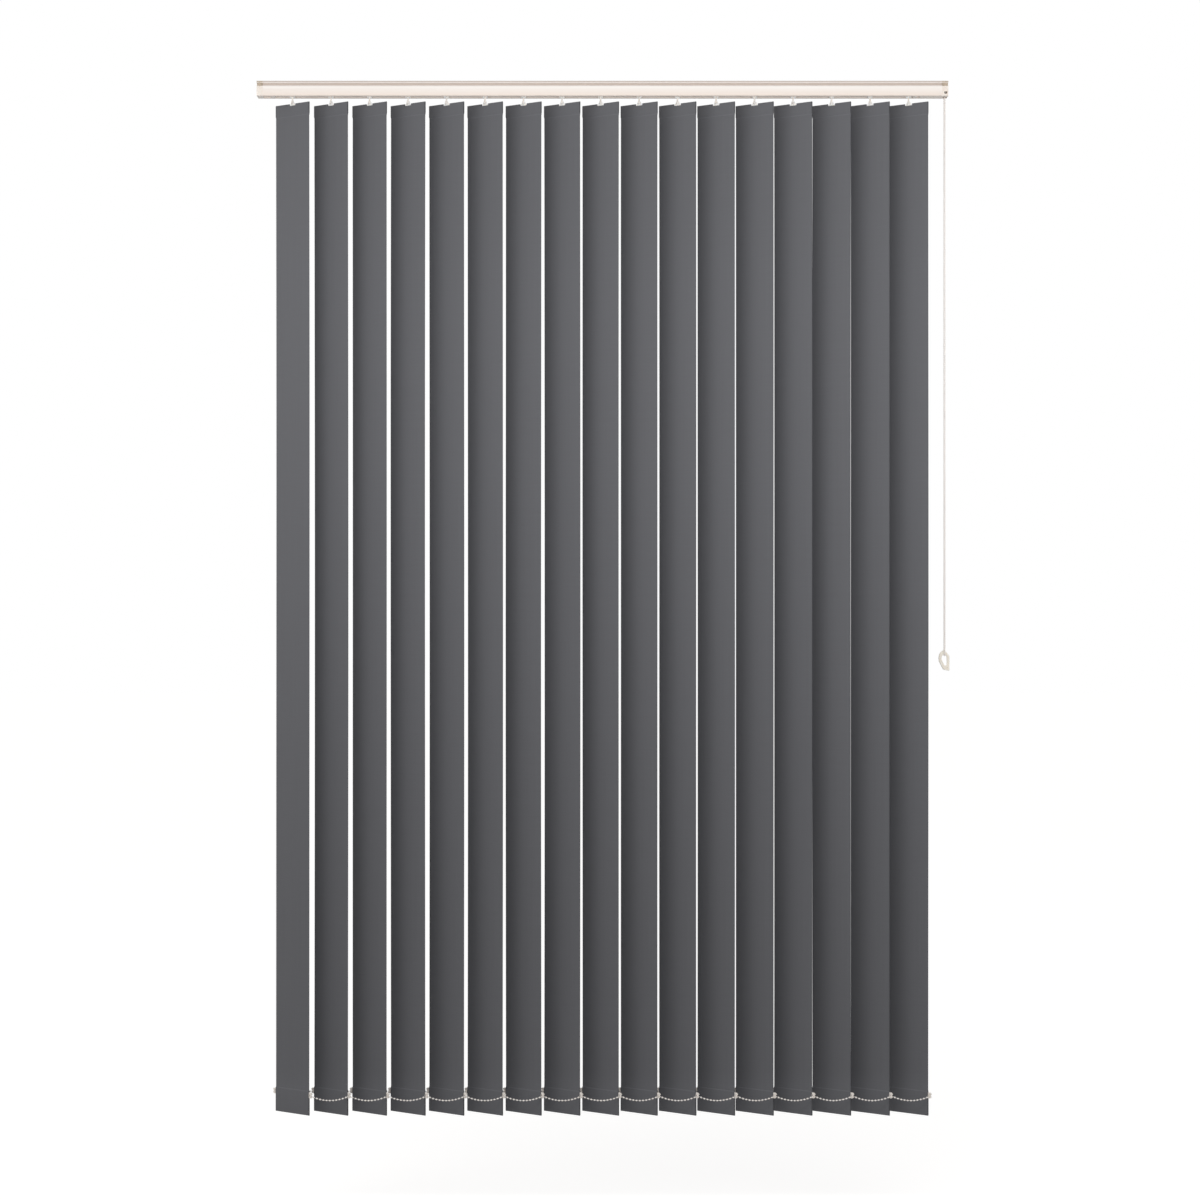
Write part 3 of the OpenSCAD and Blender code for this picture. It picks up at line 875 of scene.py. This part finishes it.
@dataclass
class Slats:
    """The hung slats: folded fabric, the hanger in the top pocket and the weight in the hem."""

    layout: Layout
    finishes: Finishes
    width: float = 89 * MM
    top: float = -44.5 * MM
    bottom: float = -2063.5 * MM
    fabric: float = 0.45 * MM
    top_half_gap: float = 1.175 * MM
    hem_half_gap: float = 1.325 * MM
    top_pocket: float = 22 * MM
    hem_pocket: float = 46.6 * MM
    taper: float = 3.4 * MM
    flap_tail: float = 1.5 * MM
    notch_w: float = 17 * MM
    notch_h: float = 4 * MM
    flap_gap: float = 0.02 * MM
    cup: Point2 = (0.5 * MM, 1.1 * MM)
    sway: Point2 = (-1.4 * MM, 1.4 * MM)
    ripple: Point2 = (0.1 * MM, 0.3 * MM)
    ripple_run: Point2 = (260 * MM, 420 * MM)
    grid: tuple[float, ...] = (18 * MM, 28 * MM, 37 * MM, 43 * MM)
    panel_steps: int = 56
    fold_steps: int = 6

    def pocket(self, end: float, inward: int, half_gap: float, depth: float) -> list[Point2]:
        """Gives the fold of one pocket, from the tail of its flap round the end to the panel.

        Args:
            end: Height of the folded end.
            inward: -1 if the slat is below this end, 1 if above.
            half_gap: Distance of the fabric's middle from the slat's plane.
            depth: Height of the straight pocket.

        Returns:
            Distance behind the slat's plane and height of each point of the fabric's middle.
        """
        flap, turn = self.fabric + self.flap_gap, half_gap + self.fabric / 2
        tail, middle = depth + self.taper, depth + self.taper / 2
        back = [
            (flap, tail + self.flap_tail),
            (flap, tail),
            ((flap + half_gap) / 2, middle),
            (half_gap, depth),
            (half_gap, self.notch_h),
        ]
        angles = [math.pi * k / self.fold_steps for k in range(self.fold_steps + 1)]
        fold = [(half_gap * math.cos(a), turn - half_gap * math.sin(a)) for a in angles]
        front = [(-half_gap, self.notch_h), (-half_gap, depth), (-half_gap / 2, middle), (0.0, tail)]
        return [(out, end + inward * reach) for out, reach in back + fold + front]

    def fold_line(self) -> list[Point2]:
        """Gives the whole fabric from the top flap to the hem flap.

        Returns:
            Distance behind the slat's plane and height of each point.
        """
        above = self.pocket(self.top, -1, self.top_half_gap, self.top_pocket)
        below = self.pocket(self.bottom, 1, self.hem_half_gap, self.hem_pocket)[::-1]
        start, stop = above[-1][1], below[0][1]
        panel = [(0.0, start + (stop - start) * k / self.panel_steps) for k in range(1, self.panel_steps)]
        return above + panel + below

    def cut_length(self) -> float:
        """Gives the length of the strip before it was folded."""
        line = self.fold_line()
        return sum(math.dist(a, b) for a, b in zip(line, line[1:]))

    def columns(self) -> list[float]:
        """Gives the grid lines across the slat, with the notch's sides among them."""
        half = [self.notch_w / 2, *self.grid, self.width / 2]
        return [-x for x in reversed(half)] + [0.0] + half

    def curl(self, number: int) -> Callable[[float, float], float]:
        """Gives the slight bow that a stiffened strip keeps from its roll.

        Args:
            number: Slat number, which seeds its own bow.

        Returns:
            Function of width and height that gives the distance out of plane.
        """
        chance = random.Random(number)
        cup, sway, ripple, run, phase = [
            chance.uniform(*span)
            for span in (self.cup, self.sway, self.ripple, self.ripple_run, (0, 2 * math.pi))
        ]
        free = self.top - self.bottom - self.top_pocket - self.hem_pocket - 2 * self.taper

        def out(u: float, z: float) -> float:
            """Gives the bow at one place of the panel.

            Args:
                u: Place across the slat.
                z: Height.

            Returns:
                Distance behind the slat's plane, 0 in the pockets.
            """
            share = (self.top - self.top_pocket - self.taper - z) / free
            if not 0 < share < 1:
                return 0.0
            ease = math.sin(math.pi * share)
            edge = (2 * u / self.width) ** 2
            wavy = math.sqrt(ease) * ripple * edge * math.sin(z / run + phase)
            return ease * (sway - cup * (1 - edge)) + wavy

        return out

    def cloth(self, number: int) -> Shape:
        """Makes the folded strip of one slat, with its thickness and the notch for the hook.

        Args:
            number: Slat number.

        Returns:
            The closed shape, in the slat's own axes.
        """
        line, across, out = self.fold_line(), self.columns(), self.curl(number)
        made = Shape()
        for k, (v, z) in enumerate(line):
            before, after = Vector(line[max(k - 1, 0)]), Vector(line[min(k + 1, len(line) - 1)])
            along = (after - before).normalized()
            normal = Vector((-along.y, along.x)) * self.fabric / 2
            for u in across:
                bowed = v + out(u, z)
                made.vertices.append(Vector((u, bowed + normal.x, z + normal.y)))
                made.vertices.append(Vector((u, bowed - normal.x, z - normal.y)))
        wide = len(across)
        notch_z = self.top - self.notch_h - self.flap_gap / 2
        in_notch = [min(a[1], b[1]) > notch_z for a, b in zip(line, line[1:])]
        narrow = [abs(a + b) < self.notch_w for a, b in zip(across, across[1:])]
        cells = [(k, j) for k in range(len(line) - 1) for j in range(wide - 1)]
        kept = {(k, j) for k, j in cells if not (in_notch[k] and narrow[j])}
        for k, j in sorted(kept):
            a, b = 2 * (k * wide + j), 2 * (k * wide + j + 1)
            d, c = a + 2 * wide, b + 2 * wide
            made.faces += [(a, b, c, d), (a + 1, d + 1, c + 1, b + 1)]
            sides = {(k - 1, j): (a, b), (k + 1, j): (c, d), (k, j - 1): (d, a), (k, j + 1): (b, c)}
            made.faces += [(q, p, p + 1, q + 1) for beside, (p, q) in sides.items() if beside not in kept]
        return made

    def build(self) -> None:
        """Hangs every slat on its body."""
        hanger = Hanger(self.top - self.notch_h).shape()
        weight = HemWeight(self.layout, self.width / 2, self.bottom).shape()
        for number in self.layout.numbers():
            body, tag, place = f"slat_{number:02d}", f"{number:02d}", self.layout.on_slat(number)
            cloth = self.cloth(number).piece(f"slat_fabric_{tag}", self.finishes.slat, place)
            card = hanger.piece(f"hanger_{tag}", self.finishes.acetal, place)
            bar = weight.piece(f"hem_weight_{tag}", self.finishes.weight, place)
            for made, slot in ((cloth, "slat_fabric"), (card, "hook_plastic"), (bar, "chain_plastic")):
                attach(made, body)
            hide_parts(body)
            LOG.info("slat %s hung, cut %.3f m long", tag, self.cut_length())


@dataclass
class BottomChain:
    """A bead chain that links the hem weights along one edge of the slats."""

    layout: Layout
    finishes: Finishes
    side: Side
    beads: int = 11
    sag: float = 9 * MM
    bead_r: float = 1.55 * MM
    bead_len: float = 4.1 * MM
    bead_rings: tuple[float, ...] = (0, 25, 50, 75)
    bead_sides: int = 10
    link_r: float = 0.3 * MM
    link_sides: int = 6
    link_in: float = 0.9 * MM
    stand_off: float = 5 * MM

    def point(self, step: int) -> Vector:
        """Gives a point of the span between two pegs, which stands off the lugs so that it can close up.

        Args:
            step: Number of the bead, from 0 at the first peg.

        Returns:
            Its place from the first peg.
        """
        share = step / (self.beads + 1)
        out = -self.side.value * self.stand_off if 0 < step <= self.beads else 0.0
        return Vector((self.layout.pitch * share, out, -4 * self.sag * share * (1 - share)))

    def bead(self) -> Shape:
        """Makes one oval bead, lying along Z.

        Returns:
            The closed shape.
        """
        straight = self.bead_len / 2 - self.bead_r
        angles = [math.radians(a) for a in self.bead_rings]
        upper = [(self.bead_r * math.cos(a), straight + self.bead_r * math.sin(a)) for a in angles]
        upper.append((0.0, self.bead_len / 2))
        lower = [(r, -z) for r, z in reversed(upper)]
        return lathe(lower + upper, self.bead_sides)

    def span(self) -> Shape:
        """Makes the beads and links between two pegs.

        Returns:
            The beads and links, from the first peg.
        """
        made, bead, ring = Shape(), self.bead(), self.layout.eyelet.link_at
        for k in range(1, self.beads + 1):
            made.add(bead, facing(self.point(k), self.point(k + 1) - self.point(k - 1)))
        for k in range(self.beads + 1):
            start, step = self.point(k), self.point(k + 1) - self.point(k)
            low = ring if k == 0 else self.link_in
            high = step.length - (ring if k == self.beads else self.link_in)
            made.add(pin(self.link_r, low, high, self.link_sides), facing(start, step))
        return made

    def build(self) -> None:
        """Hangs the chain on its eyelets."""
        made, span = Shape(), self.span()
        for number in self.layout.numbers()[:-1]:
            made.add(span, Matrix.Translation(self.layout.peg(number, self.side)))
        node = f"bottom_chain_{self.side.name.lower()}"
        chain = made.piece(f"bead_{node}", self.finishes.bead)
        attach(chain, node)
        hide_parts(node)
        self.layout.peg(self.layout.count, self.side)
        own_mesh(chain)
        LOG.info("%s linked", node)


@dataclass
class ControlChain:
    """The endless bead chain that turns the slats, hanging from its wheel in the control housing."""

    finishes: Finishes
    guide: Object
    x: float = 688.5 * MM
    axle: Point2 = (6 * MM, -16 * MM)
    wheel_r: float = 7.3 * MM
    exit_z: float = -31.5 * MM
    loop_z: float = -1140.7 * MM
    bead_r: float = 1.6 * MM
    pitch: float = 4.5 * MM
    cord_r: float = 0.5 * MM
    cord_in: float = 0.9 * MM
    bead_rings: tuple[float, ...] = (-60, -30, 0, 30, 60)
    bead_sides: int = 10
    cord_sides: int = 6
    first_bead: float = 0.65
    slack: float = 1e-9
    straight_steps: int = 10
    turn_steps: int = 16

    def at(self, y: float, z: float) -> Vector:
        """Gives a point in the plane of the loop."""
        return Vector((self.x, y, z))

    def hanging_route(self) -> list[Vector]:
        """Gives the route below the housing: down the front strand, round the loop and up the rear one.

        Returns:
            Points of the route.
        """
        y, r = self.axle[0], self.wheel_r
        drop = (self.loop_z - self.exit_z) / self.straight_steps
        fall = [self.exit_z + drop * k for k in range(self.straight_steps)]
        turn = [math.pi + math.pi * k / self.turn_steps for k in range(self.turn_steps + 1)]
        loop = [self.at(y + r * math.cos(a), self.loop_z + r * math.sin(a)) for a in turn]
        return [self.at(y - r, z) for z in fall] + loop + [self.at(y + r, z) for z in reversed(fall)]

    def wheel_route(self) -> list[Vector]:
        """Gives the hidden route inside the housing, up and over the wheel.

        Returns:
            Points of the route.
        """
        (y, z), r = self.axle, self.wheel_r
        turn = [math.pi - math.pi * k / self.turn_steps for k in range(self.turn_steps + 1)]
        over = [self.at(y + r * math.cos(a), z + r * math.sin(a)) for a in turn]
        return [self.at(y - r, self.exit_z), *over, self.at(y + r, self.exit_z)]

    def length(self, route: Sequence[Vector]) -> float:
        """Gives the length of a route."""
        return sum((b - a).length for a, b in zip(route, route[1:]))

    def spaced(self, route: Sequence[Vector], count: int) -> list[tuple[Vector, Vector]]:
        """Gives evenly spaced places along a route.

        Args:
            route: Points of the route.
            count: Number of places.

        Returns:
            Point and direction of each place.
        """
        step, places, gone = self.length(route) / count, [], 0.0
        for a, b in zip(route, route[1:]):
            long = (b - a).length
            while len(places) < count and (len(places) + self.first_bead) * step <= gone + long + self.slack:
                reach = (len(places) + self.first_bead) * step - gone
                places.append((a.lerp(b, reach / long), (b - a).normalized()))
            gone += long
        return places

    def beads(self, route: Sequence[Vector]) -> Shape:
        """Makes the round beads on their cord along a route.

        Args:
            route: Points of the route.

        Returns:
            The beads and the cord between them.
        """
        made, r = Shape(), self.bead_r
        angles = [math.radians(a) for a in self.bead_rings]
        rings = [(r * math.cos(a), r * math.sin(a)) for a in angles]
        ball = lathe([(0.0, -r), *rings, (0.0, r)], self.bead_sides)
        places = self.spaced(route, round(self.length(route) / self.pitch))
        for point, direction in places:
            made.add(ball, facing(point, direction))
        for (a, _), (b, _) in zip(places, places[1:]):
            high = (b - a).length - self.cord_in
            made.add(pin(self.cord_r, self.cord_in, high, self.cord_sides), facing(a, b - a))
        return made

    def build(self) -> None:
        """Hangs the chain in its housing."""
        route = self.hanging_route()
        hanging = self.beads(route).piece("control_bead_chain", self.finishes.bead)
        wheel = self.beads(self.wheel_route()).piece("control_beads_on_wheel", self.finishes.bead)
        for made in (hanging, wheel):
            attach(made, "headrail")
        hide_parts("control_chain")
        LOG.info("control chain hung, %.3f m below the housing", self.length(route))


@dataclass
class RigidParts:
    """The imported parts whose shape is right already: they keep it and get their finish."""

    nodes: dict[str, Object]
    finishes: Finishes
    edge: float = 0.25 * MM
    guide_edge: float = 1.3 * MM

    def dress(self, node: str, material: Material, edge: float = 0.0) -> None:
        """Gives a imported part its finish.

        Args:
            node: Name of the part.
            material: Its finish.
            edge: Radius that breaks its sharp edges, or 0 to leave them.
        """
        part = self.nodes[node]
        part.data.materials.clear()
        part.data.materials.append(material)
        if edge:
            weld = part.modifiers.new("joined_faces", "WELD")
            weld.merge_threshold = WELD_GAP
            broken = part.modifiers.new("broken_edges", "BEVEL")
            broken.width = edge
            broken.segments = 2
            broken.limit_method = "ANGLE"
            broken.angle_limit = SMOOTH_ANGLE
            broken.harden_normals = True
        LOG.info("%s finished", node)

    def build(self) -> None:
        """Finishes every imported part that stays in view."""
        self.dress("headrail", self.finishes.rail, self.edge)
        for node in ("end_cap", "control_housing"):
            self.dress(node, self.finishes.cap, self.edge)
        self.dress("chain_guide", self.finishes.guide, self.guide_edge)
        self.dress("mounting_brackets", self.finishes.zinc)
        self.dress("tilt_rod", self.finishes.rod)
        for node in self.nodes:
            if node.startswith("carrier_"):
                self.dress(node, self.finishes.acetal)
            elif node.startswith("hook_"):
                self.dress(node, self.finishes.hook)


@dataclass(frozen=True)
class Studio:
    """Pale floor, soft light and the camera, which stands square to the blind."""

    distance: float = 5.4
    eye_x: float = -0.0012
    eye_z: float = -1.037
    focal_px: float = 2700
    frame_px: float = 1200
    sensor_mm: float = 36
    floor_z: float = -2.26
    floor_size: float = 60
    floor_colour: str = "#cacaca"
    floor_glow: float = 0.65
    sky: float = 0.61
    sky_colour: str = "#fffdfb"
    key_watts: float = 23
    key_size: Point2 = (4.4, 0.6)
    key_place: Point3 = (0.0, -1.35, -0.36)
    sight: float = 100

    def seen(self, tree: NodeTree, share: float) -> Node:
        """Gives a share for rays that show the background, and 0 for those that light the blind.

        Args:
            tree: Nodes of the floor or the world.
            share: Value for camera, mirror and see-through rays.

        Returns:
            The share.
        """
        rays = add_node(tree, "LightPath").outputs
        mirror = add_node(
            tree, "Math", {0: rays["Is Glossy Ray"], 1: rays["Is Transmission Ray"]}, operation="MAXIMUM"
        )
        shown = add_node(tree, "Math", {0: rays["Is Camera Ray"], 1: mirror}, operation="MAXIMUM")
        return add_node(tree, "Math", {0: shown, 1: share}, operation="MULTIPLY")

    def floor(self) -> None:
        """Lays the floor, which shows white and keeps the shadow."""
        half = self.floor_size / 2
        turns = ((-half, -half), (half, -half), (half, half), (-half, half))
        corners = [Vector((x, y, self.floor_z)) for x, y in turns]
        paper = bpy.data.materials.new("studio_paper")
        paper.use_nodes = True
        tree = paper.node_tree
        tree.nodes.clear()
        matt = add_node(tree, "BsdfDiffuse", {"Color": linear(self.floor_colour)})
        # The glow makes up what the lit paper lacks to white, so that a shadow on it still shows
        glow = add_node(tree, "Emission", {"Strength": self.seen(tree, self.floor_glow)})
        both = add_node(tree, "AddShader", {0: matt, 1: glow})
        add_node(tree, "OutputMaterial", {"Surface": both})
        Shape(corners, [(0, 1, 2, 3)]).piece("studio_floor", paper)

    def world(self) -> None:
        """Sets an even sky that shows white."""
        made = bpy.data.worlds.new("studio_sky")
        made.use_nodes = True
        tree = made.node_tree
        tree.nodes.clear()
        light = add_node(tree, "Background", {"Color": linear(self.sky_colour), "Strength": self.sky})
        white = add_node(tree, "Background", {"Color": linear("#ffffff"), "Strength": 1.0})
        mixed = add_node(tree, "MixShader", {0: self.seen(tree, 1.0), 1: light, 2: white})
        add_node(tree, "OutputWorld", {"Surface": mixed})
        bpy.context.scene.world = made

    def lamp(self) -> None:
        """Hangs the soft box, which faces the blind from the room."""
        data = bpy.data.lights.new("key_strip", "AREA")
        data.energy = self.key_watts
        data.shape = "RECTANGLE"
        data.size, data.size_y = self.key_size
        made = bpy.data.objects.new("key_strip", data)
        made.location = self.key_place
        made.rotation_euler = (math.pi / 2, 0, 0)
        made.visible_camera = False
        bpy.context.scene.collection.objects.link(made)

    def camera(self) -> None:
        """Stands the camera level, in front of the middle slat."""
        data = bpy.data.cameras.new("camera")
        data.sensor_width = self.sensor_mm
        data.lens = self.sensor_mm * self.focal_px / self.frame_px
        data.clip_end = self.sight
        made = bpy.data.objects.new("camera", data)
        made.location = (self.eye_x, -self.distance, self.eye_z)
        made.rotation_euler = (math.pi / 2, 0, 0)
        bpy.context.scene.collection.objects.link(made)
        bpy.context.scene.camera = made

    def build(self) -> None:
        """Sets up the whole studio."""
        bpy.context.scene.view_settings.view_transform = "Standard"
        self.camera()
        self.floor()
        self.world()
        self.lamp()


def main() -> None:
    """Builds the blind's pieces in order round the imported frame."""
    logging.basicConfig(level=logging.INFO, format="%(name)s: %(message)s")
    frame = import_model()
    Studio().build()
    layout, finishes = Layout(), Finishes()
    ControlChain(finishes, frame["nodes"]["chain_guide"]).build()
    RigidParts(frame["nodes"], finishes).build()
    Slats(layout, finishes).build()
    for side in Side:
        BottomChain(layout, finishes, side).build()


if __name__ == "__main__":
    main()
